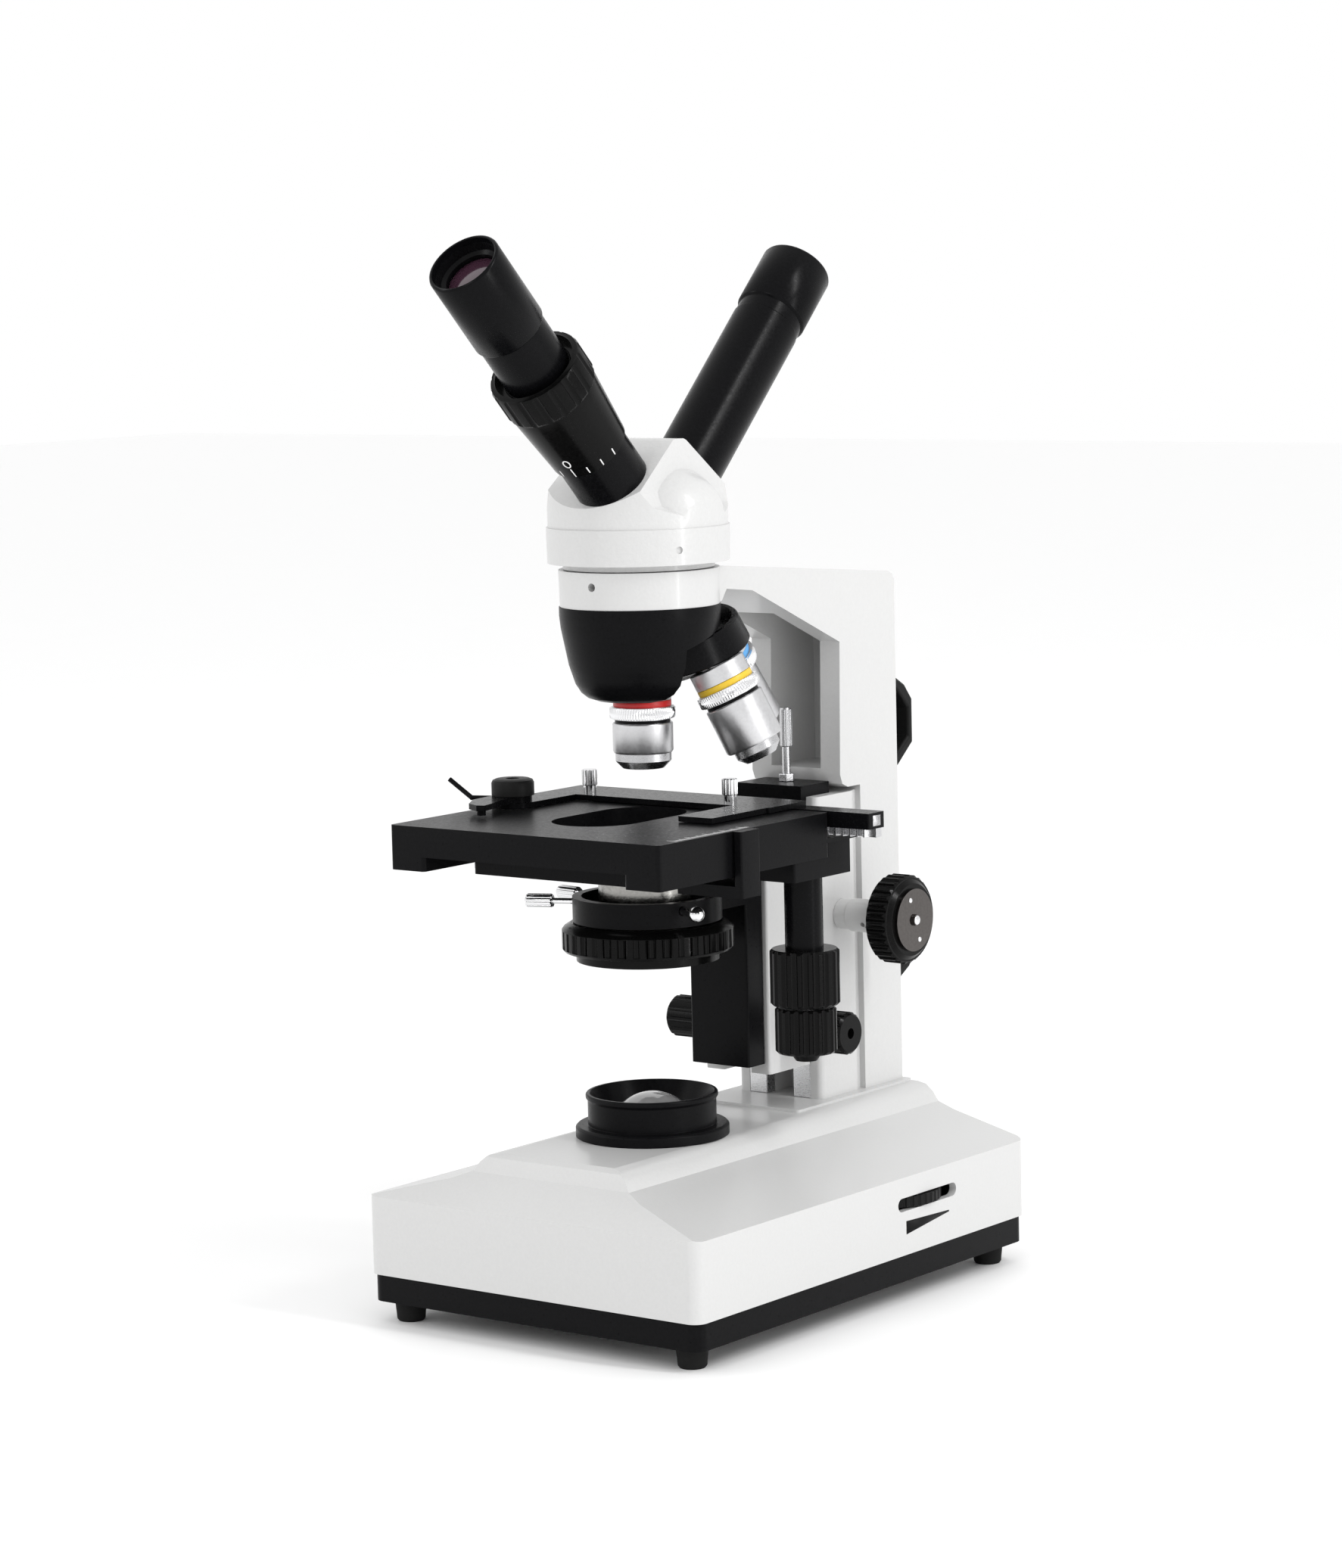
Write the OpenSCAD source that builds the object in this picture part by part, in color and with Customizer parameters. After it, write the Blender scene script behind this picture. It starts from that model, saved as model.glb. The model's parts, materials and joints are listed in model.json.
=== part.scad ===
// Compound microscope with a two-way viewing head, mechanical stage and lit base.
// All heights are measured from the surface that the feet stand on.

/* [Base] */
// Width of the base casting
base_w = 151; // [140:1:165]
// Distance from the optical axis to the front of the base
base_front = 74; // [70:1:90]
// Distance from the optical axis to the back of the base
base_back = 134; // [132:1:140]
// Height of the rubber feet
foot_h = 8; // [6:0.5:10]
// Height of the black bottom plate
plate_h = 10; // [8:0.5:12]
// Height of the flat top of the base
plateau_z = 64.8; // [62:0.1:68]

/* [Arm] */
// Half the width of the arm
arm_half_w = 20.5; // [18:0.5:22]
// Height of the arm's top at the collar
arm_top_z = 272.4; // [270:0.1:275]
// Outer radius of the collar that holds the head
collar_r = 29.2; // [28:0.1:31]
// Distance from the optical axis to the back of the arm
arm_back = 132; // [130:0.5:134]

/* [Optics] */
// Radius of the eyepiece barrels
eyepiece_r = 13.4; // [13:0.1:15]
// Lean of the viewing tubes from upright
tube_lean = 45; // [42:0.5:48]
// Radius of the circle on which the objectives sit
seat_circle_r = 19.5; // [18:0.5:21]
// Lean of the turret axis from upright
turret_lean = 18; // [15:0.5:20]

/* [Stage] */
// Width of the stage
stage_w = 122; // [116:1:130]
// Height of the stage surface
stage_z = 183.7; // [182:0.1:184]
// Height of the focusing shaft
focus_z = 135; // [130:1:140]

/* [Hidden] */
$fn = 64;
slip = 0.05;          // radial clearance of a running fit
axis_y = -19;         // optical axis, measured from the middle of the footprint
half_w = base_w / 2;
plate_z = foot_h + plate_h;
wall = 3;
ridge_z = 47;         // top of the base's upright walls
shoulder_z = 57.8;    // top of the base's shallow slopes
plateau_half_w = 34.5;
focus_y = 94.7;       // focusing shaft behind the optical axis
tooth = 1.0;          // gear module
pinion_r = 6;         // pitch radius of the pinions
pinion_teeth = 12;
seat_z = 231;         // seat of the objective in use
turret_turn = 8;      // turret axis turned from the back towards the right
drive_x = 50;         // coaxial stage drive
drive_y = 28;
cond_y = 68;          // condenser shaft
cond_z = 95;
tube_x = 5;           // plane of the viewing tubes
tube_cross_z = 284;   // height at which the two viewing axes meet

// The optical axis is the reference for every piece.
module on_axis() translate([0, axis_y, 0]) children();

// Upright prism of a rectangle with rounded corners.
module slab(x0, x1, y0, y1, z0, z1, r) {
    translate([0, 0, z0]) linear_extrude(z1 - z0) union() {
        translate([x0 + r, y0]) square([x1 - x0 - 2 * r, y1 - y0]);
        translate([x0, y0 + r]) square([x1 - x0, y1 - y0 - 2 * r]);
        for (x = [x0 + r, x1 - r], y = [y0 + r, y1 - r]) translate([x, y]) circle(r = r);
    }
}

module block(x0, x1, y0, y1, z0, z1)
    translate([x0, y0, z0]) cube([x1 - x0, y1 - y0, z1 - z0]);

// Cylinder along X, centred on (y, z).
module x_rod(x0, x1, y, z, r)
    translate([x0, y, z]) rotate([0, 90, 0]) cylinder(r = r, h = x1 - x0);

// Cylinder along Y, centred on (x, z).
module y_rod(y0, y1, x, z, r)
    translate([x, y0, z]) rotate([-90, 0, 0]) cylinder(r = r, h = y1 - y0);

module z_rod(z0, z1, x, y, r)
    translate([x, y, z0]) cylinder(r = r, h = z1 - z0);

// Round rod from point a to point b.
module rod(a, b, r) {
    d = b - a;
    translate(a) rotate([0, acos(d[2] / norm(d)), atan2(d[1], d[0])])
        cylinder(r = r, h = norm(d));
}

// Grips cut along a knob that stands on the XY plane.
module grip_cuts(r, h, count, cut_r)
    for (i = [0:count - 1]) rotate(i * 360 / count)
        translate([r + cut_r * 0.45, 0, -1]) cylinder(r = cut_r, h = h + 2, $fn = 16);

module ridged_knob(r, h, count, cut_r) {
    difference() {
        rotate_extrude() polygon([
            [0, 0], [r - 1, 0], [r, 1], [r, h - 1], [r - 1, h], [0, h]]);
        grip_cuts(r, h, count, cut_r);
    }
}

// Pinion outline: straight-sided teeth with room for backlash.
module pinion_2d(teeth, m) {
    pitch = teeth * m / 2;
    circle(r = pitch - 1.2 * m);
    for (i = [0:teeth - 1]) rotate(i * 360 / teeth)
        polygon([[pitch - 1.35 * m, -0.95 * m], [pitch + 0.8 * m, -0.3 * m],
                 [pitch + 0.8 * m, 0.3 * m], [pitch - 1.35 * m, 0.95 * m]]);
}

// Rack outline: teeth along +X pointing to -Y, pitch line on y = 0,
// with a gap between teeth at x = 0.
module rack_2d(x0, x1, back, m) {
    pitch = PI * m;
    first = ceil((x0 + m) / pitch - 0.5);
    last = floor((x1 - m) / pitch - 0.5);
    translate([x0, 1.2 * m]) square([x1 - x0, back]);
    for (i = [first:last]) translate([(i + 0.5) * pitch, 0])
        polygon([[-1.05 * m, 1.25 * m], [-0.3 * m, -0.8 * m],
                 [0.3 * m, -0.8 * m], [1.05 * m, 1.25 * m]]);
}

// ---------------------------------------------------------------- base

module base_shape(inset) {
    w = half_w - inset;
    top = -inset;
    intersection() {
        slab(-w, w, -base_front + inset, base_back - inset, plate_z - 1, plateau_z, 5);
        translate([0, base_back - inset, 0]) rotate([90, 0, 0])
            linear_extrude(base_front + base_back - 2 * inset) polygon([
                [-w, plate_z - 1], [w, plate_z - 1], [w, ridge_z + top], [43, 55.2 + top],
                [35.7, shoulder_z + top], [33.2, 61.4 + top], [30, 64 + top], [26, plateau_z + top],
                [-26, plateau_z + top], [-30, 64 + top], [-33.2, 61.4 + top],
                [-35.7, shoulder_z + top], [-43, 55.2 + top], [-w, ridge_z + top]]);
        translate([-w, 0, 0]) rotate([90, 0, 90]) linear_extrude(2 * w) polygon([
            [-base_front + inset, plate_z - 1], [base_back - inset, plate_z - 1],
            [base_back - inset, plateau_z + top], [-56 + inset, plateau_z + top],
            [-58.5 + inset, 63.4 + top], [-60.4 + inset, shoulder_z + top],
            [-base_front + inset, ridge_z + top]]);
    }
}

module base_casting() {
    color("white") on_axis() {
        difference() {
            union() {
                base_shape(0);
                slab(-24, 24, 58, base_back - 0.5, plateau_z - 1, plateau_z + 1, 1.5);
            }
            base_shape(wall);
            block(-half_w - 1, half_w + 1, -base_front - 1, base_back + 1, 0, plate_z);
            z_rod(plateau_z - 10, plateau_z + 1, 0, 0, 20);
            block(half_w - 6, half_w + 1, 50.5, 83.5, 34.4, 39.4);
            for (y = [50.5, 83.5]) x_rod(half_w - 6, half_w + 1, y, 36.9, 2.5);
            block(-48, -22, base_back - 6, base_back + 1, 26, 44);
            block(16, 30, base_back - 6, base_back + 1, 27, 41);
        }
        for (x = [-1, 1], y = [-62, 121])
            difference() {
                z_rod(plate_z, ridge_z, x * 62, y, 5);
                z_rod(plate_z - 1, ridge_z - 8, x * 62, y, 1.6);
            }
    }
}

module bottom_plate() {
    color([0.06, 0.06, 0.06]) on_axis() difference() {
        slab(-half_w + 0.8, half_w - 0.8, -base_front + 0.8, base_back - 0.8,
             foot_h, plate_z, 5);
        slab(-half_w + 4, half_w - 4, -base_front + 4, base_back - 4,
             foot_h + 2.5, plate_z + 1, 3);
        for (x = [-1, 1], y = [-62, 121]) z_rod(foot_h - 1, foot_h + 4, x * 62, y, 1.8);
    }
}

module feet() {
    color([0.05, 0.05, 0.05]) on_axis() for (x = [-64.5, 64.5], y = [-63.5, 123])
        translate([x, y, 0]) difference() {
            rotate_extrude() polygon([[0, 0], [4.6, 0], [5.2, 0.8], [5.9, foot_h], [0, foot_h]]);
            translate([0, 0, -1]) cylinder(r = 2.5, h = 3);
        }
}

module plate_screws() {
    color("silver") on_axis() for (x = [-1, 1], y = [-50, 100])
        z_rod(foot_h - 1.4, foot_h, x * 55, y, 3.2);
}

// ---------------------------------------------------------------- arm

module arm_profile() polygon([
    [107, plateau_z + 1], [arm_back, plateau_z + 1], [arm_back, 259.5], [arm_back - 1.2, 261.6],
    [arm_back - 4, 262.8], [20, arm_top_z], [0, arm_top_z], [0, 259.3], [22, 259.3],
    [25.2, 263.6], [40.9, 261.9], [95.3, 238.4], [94, 188], [95.5, 184.5], [99, 183], [107, 183]]);

module arm_cavity_profile() polygon([
    [31, 230], [31, 254.5], [118, 246], [123, 241], [123, 190], [88, 190], [86, 230]]);

module sideways(half) rotate([90, 0, 90]) translate([0, 0, -half])
    linear_extrude(2 * half) children();

module arm_casting() {
    color("white") on_axis() difference() {
        union() {
            difference() {
                sideways(arm_half_w) arm_profile();
                sideways(11.5) arm_cavity_profile();
            }
            slab(-19.5, 19.5, 79.6, 105, plateau_z + 1, 181, 2.5);
            block(-18, 18, 100, 112, plateau_z + 1, 181);
            translate([0, 0, 259.3]) cylinder(r1 = collar_r - 0.3, r2 = collar_r, h = 13.3);
        }
        z_rod(250, 280, 0, 0, 17);
        z_rod(265.3, 280, 0, 0, 22);
        block(-6.2, 6.2, 70, 96, plateau_z, 182);
        block(-14.2, -6.2, 70, 85, plateau_z, 182);
        block(6.2, 14.2, 70, 85, plateau_z, 182);
        x_rod(-10, 10, focus_y, focus_z, 8.4);
        x_rod(-30, 30, focus_y, focus_z, 3.5 + slip);
        z_rod(60, 78, 0, 116, 3.3);
        rotate(-88) x_rod(20, 31, 0, 267.5, 1.5);
    }
}

module slide_guides() {
    color("silver") on_axis() for (s = [-1, 1]) scale([s, 1, 1])
        block(6.2, 14.2, 79.6, 85, plateau_z + 1, 172);
}

module cord_hooks() {
    color([0.07, 0.07, 0.07]) on_axis() for (flip = [0, 1])
        translate([0, 0, flip * 325.5]) scale([1, 1, flip == 1 ? -1 : 1])
            sideways(18) polygon([
                [arm_back, 186], [arm_back + 5, 187], [arm_back + 15, 195], [arm_back + 15, 212],
                [arm_back + 10, 218], [arm_back + 3, 222], [arm_back + 2, 227], [arm_back, 227],
                [arm_back, 221], [arm_back + 8, 213], [arm_back + 12, 208.5],
                [arm_back + 12, 198], [arm_back + 3, 191], [arm_back, 191]]);
}

// ---------------------------------------------------------------- lamp

module lamp_housing() {
    color([0.06, 0.06, 0.06]) on_axis() rotate_extrude() polygon([
        [28.2, plateau_z], [28.2, plateau_z + 3.4], [27.4, plateau_z + 4.2],
        [23.6, plateau_z + 4.2], [23.6, 78], [24.3, 79], [24.3, 80.2], [23.9, 80.7],
        [22.9, 80.7], [17.6, 72], [17.6, 69.8], [15.6, 69.8], [15.6, 50], [19.6, 50],
        [19.6, plateau_z]]);
}

module field_lens() {
    color([0.8, 0.9, 1, 0.5]) on_axis() intersection() {
        translate([0, 0, 63.5]) sphere(r = 17, $fn = 96);
        z_rod(69.8, 81, 0, 0, 17);
    }
}

module lamp_socket() {
    color("ivory") on_axis() {
        z_rod(22, 36, 0, 0, 9);
        z_rod(foot_h + 2.5, 22, 0, 0, 5);
        block(-14, 14, -6, 6, foot_h + 2.5, 13);
    }
}

module lamp_bulb() {
    color([1, 1, 0.9, 0.6]) on_axis() rotate_extrude() polygon([
        [0, 36], [4.5, 36], [4.5, 40], [6, 43], [6, 50], [4.8, 53], [2, 55], [0, 55.4]]);
}

module driver_board() {
    color("darkgreen") on_axis() {
        block(-45, 20, 50, 110, 14, 15.6);
        block(-40, -10, 60, 90, 15.6, 36);
        for (y = [64, 76, 88]) z_rod(15.6, 28, 8, y, 4.5);
        for (x = [-42, 17], y = [53, 107]) z_rod(foot_h + 2.5, 14, x, y, 2.5);
    }
}

module power_inlet() {
    back = base_back;
    color([0.08, 0.08, 0.08]) on_axis() difference() {
        union() {
            block(-47.8, -22.2, back - 12, back, 26.2, 43.8);
            block(-50, -20, back, back + 1.6, 24.2, 45.8);
        }
        block(-45, -25, back - 10, back + 3, 29, 41);
    }
    color("silver") on_axis() for (pin = [[-40, 32], [-35, 36], [-30, 32]])
        block(pin[0] - 0.6, pin[0] + 0.6, back - 10, back - 2, pin[1], pin[1] + 3);
}

module power_switch() {
    color([0.08, 0.08, 0.08]) on_axis() intersection() {
        block(16.3, 29.7, base_back - 5, base_back + 2.8, 27.6, 40.4);
        union() {
            translate([0, base_back - 2, 34]) rotate([9, 0, 0]) block(16, 30, -4, 3.6, 0, 12);
            translate([0, base_back - 2, 34]) rotate([-9, 0, 0]) block(16, 30, -4, 3.6, -12, 0);
        }
    }
}

module dimmer_wheel() {
    color([0.07, 0.07, 0.07]) on_axis() translate([half_w - 20.5, 67, 35]) {
        difference() {
            cylinder(r = 22, h = 3.8);
            grip_cuts(22, 3.8, 44, 0.8);
        }
        translate([0, 0, -9]) cylinder(r = 4, h = 9);
    }
}

// ---------------------------------------------------------------- focusing

module stop_bracket() {
    color([0.07, 0.07, 0.07]) on_axis() difference() {
        union() {
            slab(-15, 15, 76.2, 95, 181, 185.3, 1);
            block(-15, 15, 76.2, 79.4, 173.5, 184.3);
        }
        z_rod(170, 190, 0, 88, 1.65);
    }
}

module stop_lock_nut() {
    color("silver") on_axis() difference() {
        translate([0, 88, 185.3]) cylinder(r = 3.2, h = 3, $fn = 6);
        z_rod(180, 195, 0, 88, 1.65);
    }
}

module stop_screw() {
    color("silver") on_axis() translate([0, 88, 0]) {
        z_rod(163.3, 199, 0, 0, 1.6);
        translate([0, 0, 198.5]) difference() {
            rotate_extrude() polygon([[0, 0], [2, 0], [2.4, 0.4], [2.4, 14], [1.9, 14.8], [0, 14.8]]);
            grip_cuts(2.4, 14, 12, 0.3);
        }
    }
}

module tension_collars() {
    color("white") on_axis() for (s = [-1, 1]) scale([s, 1, 1]) difference() {
        union() {
            x_rod(19.5, 25, focus_y, focus_z, 5.7);
            x_rod(25, 41, focus_y, focus_z, 6.3);
        }
        x_rod(19, 42, focus_y, focus_z, 3.5 + slip);
        translate([33, focus_y, focus_z]) rotate([115, 0, 0]) cylinder(r = 0.9, h = 10);
        translate([35, focus_y, focus_z]) rotate([25, 0, 0]) cylinder(r = 0.9, h = 10);
    }
}

module focus_shaft() {
    color("silver") on_axis() difference() {
        union() {
            x_rod(-52, 52, focus_y, focus_z, 3.5);
            translate([-4, focus_y, focus_z]) rotate([0, 90, 0])
                linear_extrude(8) pinion_2d(pinion_teeth, tooth);
        }
        x_rod(-53, -14, focus_y, focus_z, 1.8 + slip);
    }
}

module coarse_knob() translate([41.6, focus_y, focus_z]) rotate([0, 90, 0]) difference() {
    union() {
        ridged_knob(16.8, 9, 30, 1.6);
        translate([0, 0, 9]) cylinder(r1 = 15.2, r2 = 13.6, h = 1.4);
    }
    translate([0, 0, -1]) cylinder(r = 3.5, h = 20);
}

module coarse_knobs() {
    color([0.07, 0.07, 0.07]) on_axis() {
        coarse_knob();
        scale([-1, 1, 1]) coarse_knob();
    }
}

module coarse_cap() {
    color("silver") on_axis() translate([52, focus_y, focus_z]) rotate([0, 90, 0]) difference() {
        union() {
            cylinder(r = 11.8, h = 1.2);
            cylinder(r = 2.2, h = 2.2);
        }
        for (a = [20, 200]) rotate(a) translate([8.2, 0, -1]) cylinder(r = 0.9, h = 4);
    }
}

module fine_knob() {
    color([0.07, 0.07, 0.07]) on_axis() translate([-52.3, focus_y, focus_z])
        rotate([0, -90, 0]) ridged_knob(11, 11, 24, 1.3);
    color("silver") on_axis() x_rod(-52.3, -15, focus_y, focus_z, 1.8);
}

module focus_carriage() {
    color("white") on_axis() difference() {
        union() {
            slab(-15, 15, 53, 79.2, 79.3, 160, 1.2);
            block(-5.8, 5.8, 75, 84, 79.3, 160);
        }
        block(-6.3, 6.3, 50, 63.5, 79, 161);
        x_rod(-8, 8, cond_y, cond_z, 7.4);
        x_rod(-20, 20, cond_y, cond_z, 3 + slip);
    }
}

module focus_rack() {
    color("silver") on_axis() translate([-3.4, focus_y - pinion_r, focus_z])
        rotate([0, 90, 0]) linear_extrude(6.8)
            rotate(180) rack_2d(-20, 24.6, 3.5, tooth);
}

// ---------------------------------------------------------------- stage

module stage_base() {
    color([0.07, 0.07, 0.07]) on_axis() difference() {
        union() {
            slab(-42, 42, -48, 52, 164.2, 172.4, 2);
            slab(-15, 15, 34, 76, 160, 167, 1.5);
        }
        z_rod(150, 180, 0, 0, 29);
    }
}

module stage_y_rack() {
    color("silver") on_axis() {
        translate([drive_x - pinion_r, drive_y, 168.2]) linear_extrude(3.6)
            rotate(90) rack_2d(-60, 22, 0.8, tooth);
        block(-42.9, -42, -46, 50, 166, 171);
    }
}

module vernier_post() {
    color([0.07, 0.07, 0.07]) on_axis() {
        slab(61.4, 65, -29, -18, 160, stage_z, 0.8);
        slab(36, 65, -29, -18, 160, 164.2, 0.8);
    }
}

module stage_plate() {
    edge = stage_w / 2;
    color([0.07, 0.07, 0.07]) on_axis() difference() {
        union() {
            slab(-edge, edge, -71, 29.3, 172.7, stage_z, 1.5);
            for (s = [-1, 1]) scale([s, 1, 1]) slab(45.3, edge, -71, 29.3, 167.5, 174, 1.5);
            slab(-edge, edge, 20, 49, 172.7, 174.2, 1);
        }
        z_rod(160, 190, 0, -27, 17);
        z_rod(160, 190, 0, -3, 17);
        block(-17, 17, -27, -3, 160, 190);
        z_rod(165, 172.7, drive_x, drive_y, 7.6);
        z_rod(170, 180, drive_x, drive_y, 3.2 + slip);
        z_rod(174.2, 179.2, drive_x, drive_y, 7.6);
    }
}

module drive_block() {
    color([0.07, 0.07, 0.07]) on_axis() difference() {
        union() {
            slab(43.2, 60, 9, 44, 160.3, 167.5, 1);
            slab(57.8, 60, 29.6, 44, 160.3, 172.7, 0.6);
        }
        z_rod(150, 180, drive_x, drive_y, 7 + slip);
    }
}

module y_drive_tube() {
    color([0.1, 0.1, 0.1]) on_axis() difference() {
        union() {
            z_rod(122, 167.6, drive_x, drive_y, 7);
            translate([drive_x, drive_y, 167.6]) linear_extrude(4.4)
                pinion_2d(pinion_teeth, tooth);
        }
        z_rod(120, 180, drive_x, drive_y, 3 + slip);
    }
}

module y_knob() {
    color([0.06, 0.06, 0.06]) on_axis() translate([drive_x, drive_y, 112.9]) difference() {
        ridged_knob(12.8, 20.7, 20, 1.5);
        translate([0, 0, -1]) cylinder(r = 3 + slip, h = 30);
        translate([0, 0, 9.1]) cylinder(r = 7, h = 12);
    }
}

module x_drive_shaft() {
    color("silver") on_axis() {
        z_rod(96.6, 174.6, drive_x, drive_y, 3);
        translate([drive_x, drive_y, 174.6]) linear_extrude(3.2)
            pinion_2d(pinion_teeth, tooth);
    }
}

module x_knob() {
    color([0.06, 0.06, 0.06]) on_axis() translate([drive_x, drive_y, 95.3]) difference() {
        union() {
            ridged_knob(11.3, 16.8, 20, 1.4);
            translate([0, 0, -3]) cylinder(r1 = 4, r2 = 6, h = 3);
        }
        translate([0, 0, 1.3]) cylinder(r = 3, h = 20);
    }
}

module x_bar() {
    color([0.06, 0.06, 0.06]) on_axis() slab(-48, 78, 30.2, 40, 178.2, stage_z + 0.3, 0.6);
}

module x_rack() {
    color("silver") on_axis() translate([drive_x, drive_y + pinion_r, 174.8])
        linear_extrude(3.4) rack_2d(-82, 27.6, 3.4, tooth);
}

module slide_holder() {
    z0 = stage_z + 0.3;
    color([0.06, 0.06, 0.06]) on_axis() {
        slab(-60, 45, 15, 38.5, z0, z0 + 2, 1);
        slab(-60, -44, -12, 24, z0, z0 + 2, 1);
        z_rod(z0, z0 + 2, -52, -12, 8);
        slab(28.5, 44, -18, 24, z0, z0 + 2, 1);
    }
}

module holder_screws() {
    z0 = stage_z + 2.3;
    color("silver") on_axis() for (x = [-42, 23]) translate([x, 21, z0]) difference() {
        rotate_extrude() polygon([[0, 0], [2.4, 0], [2.4, 2.8], [2.9, 3.2], [2.9, 8.6], [2.4, 9], [0, 9]]);
        translate([0, 0, 3.2]) grip_cuts(2.9, 6, 14, 0.45);
    }
}

module finger_cap() {
    z0 = stage_z + 2.3;
    color([0.06, 0.06, 0.06]) on_axis() translate([-52, -12, 0]) {
        z_rod(z0, z0 + 2.5, 0, 0, 3);
        translate([0, 0, z0 + 2.4]) rotate_extrude() polygon([
            [0, 0], [7.9, 0], [7.9, 4.6], [7.4, 5.6], [6.2, 6.1], [2.6, 6.1], [2.2, 5.4], [0, 5.4]]);
    }
}

module holder_finger() {
    z0 = stage_z + 2.4;
    color([0.06, 0.06, 0.06]) on_axis() {
        difference() {
            union() {
                z_rod(z0, z0 + 2.1, -52, -12, 7);
                translate([0, 0, z0]) linear_extrude(2.1) polygon([
                    [-58.6, -14], [-57, -29], [-51, -38.5], [-45, -41.5], [-42, -40.5],
                    [-43.5, -34], [-46.5, -26], [-46.6, -14]]);
                z_rod(stage_z + 0.5, z0 + 1, -45.2, -38.4, 1.6);
            }
            z_rod(z0 - 1, z0 + 4, -52, -12, 3 + slip);
        }
    }
    color("silver") on_axis() {
        rod([-57, -14, z0 + 1], [-66, -19, z0 + 1.2], 0.9);
        rod([-66, -19, z0 + 1.2], [-74, -22, z0 + 8], 0.9);
        translate([-66, -19, z0 + 1.2]) sphere(r = 0.95, $fn = 24);
    }
}

// ---------------------------------------------------------------- condenser

module condenser_bracket() {
    color([0.07, 0.07, 0.07]) on_axis() difference() {
        union() {
            slab(-13.3, 13.3, 42, 52.7, 83.5, 153.5, 1);
            slab(-13.3, 13.3, 22, 45, 145, 153.5, 1);
            difference() {
                z_rod(144.5, 153.5, 0, 0, 27.3);
                z_rod(140, 160, 0, 0, 24);
            }
            block(-5.9, 5.9, 52, 58.4, 83.5, 150);
        }
        z_rod(140, 160, 0, 0, 24);
        for (a = [202.6, 172.6]) rotate(a) x_rod(20, 30, 0, 150.5, 1.3);
        rotate(-24) x_rod(20, 30, 0, 150.5, 1.8);
    }
}

module condenser_rack() {
    color("silver") on_axis() translate([-2.6, cond_y - pinion_r, cond_z])
        rotate([0, 90, 0]) linear_extrude(5.2)
            rotate(180) rack_2d(-11.5, 23, 2.4, tooth);
}

module condenser_body() {
    color("silver") on_axis() rotate_extrude() polygon([
        [10.5, 131], [20 - slip, 131], [20 - slip, 146], [23.9, 146], [23.9, 150], [17.7, 150.5],
        [17.7, 163], [17.2, 163.5], [12.6, 163.5], [12, 166.4], [9.5, 166.4], [9.5, 160], [10.5, 158]]);
}

module condenser_lens() {
    color([0.8, 0.9, 1, 0.5]) on_axis() z_rod(160, 166, 0, 0, 9.4);
}

module condenser_screws() {
    color("silver") on_axis() {
        for (a = [202.6, 172.6]) rotate(a) translate([24, 0, 150.5]) rotate([0, 90, 0]) {
            cylinder(r = 1.1, h = 12.2);
            translate([0, 0, 11.7]) difference() {
                rotate_extrude() polygon([[0, 0], [2.2, 0], [2.6, 0.5], [2.6, 9.5], [2.2, 10.2], [0, 10.2]]);
                grip_cuts(2.6, 10, 12, 0.4);
            }
        }
        rotate(-24) translate([24, 0, 150.5]) rotate([0, 90, 0]) {
            cylinder(r = 1.6, h = 12.2);
            translate([0, 0, 13.2]) sphere(r = 2.9, $fn = 48);
        }
    }
}

module iris_ring() {
    color([0.06, 0.06, 0.06]) on_axis() difference() {
        rotate_extrude() polygon([
            [20, 129.9], [26.3, 129.9], [26.3, 133.5], [30.6, 133.5], [31.4, 134.5], [31.4, 141.4],
            [30.6, 142.4], [28, 144], [20, 144]]);
        for (i = [0:35]) rotate(i * 10) translate([31.9, 0, 134.6])
            cylinder(r = 1.2, h = 6.6, $fn = 16);
    }
}

module condenser_shaft() {
    color("silver") on_axis() {
        x_rod(-25, 25, cond_y, cond_z, 3);
        translate([-3.2, cond_y, cond_z]) rotate([0, 90, 0])
            linear_extrude(6.4) pinion_2d(pinion_teeth, tooth);
    }
}

module condenser_knobs() {
    color([0.06, 0.06, 0.06]) on_axis() for (s = [-1, 1]) scale([s, 1, 1])
        translate([24.6, cond_y, cond_z]) rotate([0, 90, 0]) difference() {
            ridged_knob(8, 16 + s, 12, 1.2);
            translate([0, 0, -1]) cylinder(r = 3, h = 2);
            translate([0, 0, 11 + s]) cylinder(r = 2, h = 6);
        }
}

// ---------------------------------------------------------------- nosepiece

// Frame of the turret: origin on its axis in the plane of the seats, +Z down its axis.
module on_turret() {
    rotate(-turret_turn) translate([0, 0, seat_z]) rotate([180 + turret_lean, 0, 0])
        translate([0, -seat_circle_r, 0]) children();
}

// Seat of the objective that is turned by the angle from the one in use.
module at_seat(turn) on_turret() rotate(turn) translate([0, seat_circle_r, 0])
    rotate([-turret_lean, 0, 0]) children();

module nosepiece_housing() {
    color([0.07, 0.07, 0.07]) on_axis() {
        difference() {
            rotate_extrude() polygon([
                [17, 259.2], [29.3, 259.2], [29.3, 256], [28.8, 251.4], [26.2, 238], [24, 231.2],
                [22, 228], [19.8, 226.2], [16.3, 225], [13, 224.8], [13, 228], [18, 229.5],
                [20.6, 233], [23.4, 243], [24, 250], [17, 250]]);
            on_turret() translate([0, 0, -13.6]) cylinder(r = 33, h = 60);
            z_rod(220, 236, 0, 0, 13);
        }
        difference() {
            intersection() {
                on_turret() translate([0, 0, -17]) cylinder(r = 33, h = 3.4);
                rotate_extrude() polygon([
                    [0, 259], [28, 259], [28.2, 251.4], [25.6, 238], [23, 231.2], [18, 227], [0, 227]]);
            }
            z_rod(220, 260, 0, 0, 12);
        }
        on_turret() translate([0, 0, -17]) cylinder(r = 3 - slip, h = 21);
    }
}

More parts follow.
